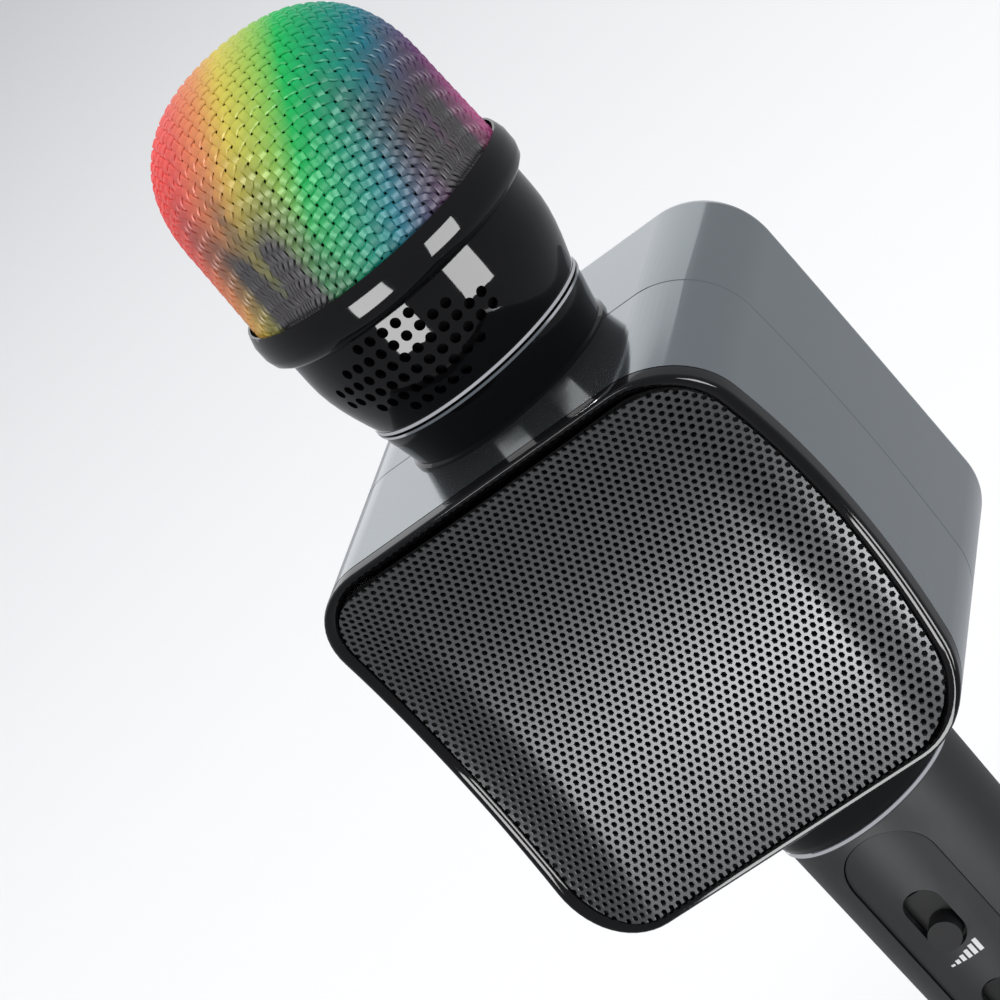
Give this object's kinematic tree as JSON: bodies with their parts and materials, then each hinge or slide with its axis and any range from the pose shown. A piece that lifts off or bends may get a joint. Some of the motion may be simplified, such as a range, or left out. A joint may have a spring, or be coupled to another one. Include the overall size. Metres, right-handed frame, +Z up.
{
  "type": "karaoke microphone",
  "caption": "Hand-held toy karaoke microphone: lit wire-mesh head, vented neck, square speaker box with a perforated grille and a slim handle with slider controls.",
  "frame": {"origin": "centre of the end cap's flat bottom face, on the handle's axis", "axes": "+Z up the handle's axis towards the wire head, speaker grille facing -Y, +X to the right seen from the grille side"},
  "size_m": [0.086, 0.0775, 0.2645],
  "materials": {
    "woven_wire": "woven steel wire mesh, lit from inside in bands of colour",
    "gloss_black": "high gloss black moulding",
    "housing_grey": "smooth grey metallic lacquer on plastic",
    "grille_metal": "perforated sheet, dark metallic paint",
    "bright_trim": "bright plated trim",
    "handle_satin": "satin charcoal plastic",
    "panel_satin": "satin charcoal panel",
    "key_black": "fine matt black caps",
    "foam": "open cell foam",
    "cloth": "black acoustic cloth",
    "white_diffuser": "milky light diffuser",
    "lamp": "light emitting packages",
    "board_green": "green circuit board",
    "parts_black": "moulded electronic parts",
    "steel": "plain zinc plated steel",
    "magnet_iron": "ferrite and iron",
    "cone_paper": "pressed paper cone",
    "surround_rubber": "soft rubber roll",
    "inner_black": "plain black inner moulding",
    "cell_wrap": "shrink wrap",
    "lead_black": "sleeved lead",
    "light_window": "clear light pipe"
  },
  "bodies": {
    "microphone_body": {"head_mesh": "woven_wire", "head_foam": "foam", "head_collar": "gloss_black", "mic_capsule": "steel", "capsule_holder": "inner_black", "light_diffuser": "white_diffuser", "light_board": "board_green", "light_leds": "lamp", "vent_cup": "gloss_black", "vent_cloth": "cloth", "cup_trim_ring": "bright_trim", "neck_band": "gloss_black", "neck_stem": "inner_black", "front_housing": "housing_grey", "rear_housing": "housing_grey", "front_bezel": "gloss_black", "front_grille": "grille_metal", "grille_cloth": "cloth", "speaker_baffle": "inner_black", "driver_gasket": "foam", "driver_basket": "steel", "driver_magnet": "magnet_iron", "driver_spider": "cloth", "driver_surround": "surround_rubber", "driver_screws": "steel", "rear_grille": "grille_metal", "radiator_frame": "inner_black", "radiator_surround": "surround_rubber", "housing_screws": "steel", "main_board": "board_green", "board_parts": "parts_black", "capsule_lead": "lead_black", "driver_lead": "lead_black", "battery_lead": "lead_black", "lower_neck": "gloss_black", "handle_ring": "bright_trim", "handle_tube": "handle_satin", "control_panel": "panel_satin", "button_switches": "parts_black", "control_board": "board_green", "status_light": "light_window", "battery_cell": "cell_wrap", "battery_cradle": "inner_black", "end_cap": "handle_satin", "end_cap_screws": "steel", "port_board": "board_green", "usb_socket": "steel", "aux_jack": "parts_black", "volume_pot": "parts_black", "echo_pot": "parts_black"},
    "volume_knob": {"volume_knob": "key_black"},
    "echo_knob": {"echo_knob": "key_black"},
    "power_button": {"power_button": "key_black"},
    "previous_button": {"previous_button": "key_black"},
    "next_button": {"next_button": "key_black"},
    "driver_cone": {"driver_cone": "cone_paper"},
    "radiator_plate": {"radiator_plate": "steel"}
  },
  "joints": [
    {"name": "volume_slide", "type": "slide", "parent": "microphone_body", "child": "volume_knob", "axis": [0, 0, 1], "range_m": [0, 0.006]},
    {"name": "echo_slide", "type": "slide", "parent": "microphone_body", "child": "echo_knob", "axis": [0, 0, 1], "range_m": [0, 0.006]},
    {"name": "power_press", "type": "slide", "parent": "microphone_body", "child": "power_button", "axis": [0, 1, 0], "range_m": [0, 0.0005], "stiffness_N_per_m": 400},
    {"name": "previous_press", "type": "slide", "parent": "microphone_body", "child": "previous_button", "axis": [0, 1, 0], "range_m": [0, 0.0005], "stiffness_N_per_m": 400},
    {"name": "next_press", "type": "slide", "parent": "microphone_body", "child": "next_button", "axis": [0, 1, 0], "range_m": [0, 0.0005], "stiffness_N_per_m": 400},
    {"name": "cone_travel", "type": "slide", "parent": "microphone_body", "child": "driver_cone", "axis": [0, 1, 0], "range_m": [-0.0012, 0.0012], "stiffness_N_per_m": 1500},
    {"name": "radiator_travel", "type": "slide", "parent": "microphone_body", "child": "radiator_plate", "axis": [0, 1, 0], "range_m": [-0.0015, 0.0015], "stiffness_N_per_m": 1500}
  ]
}
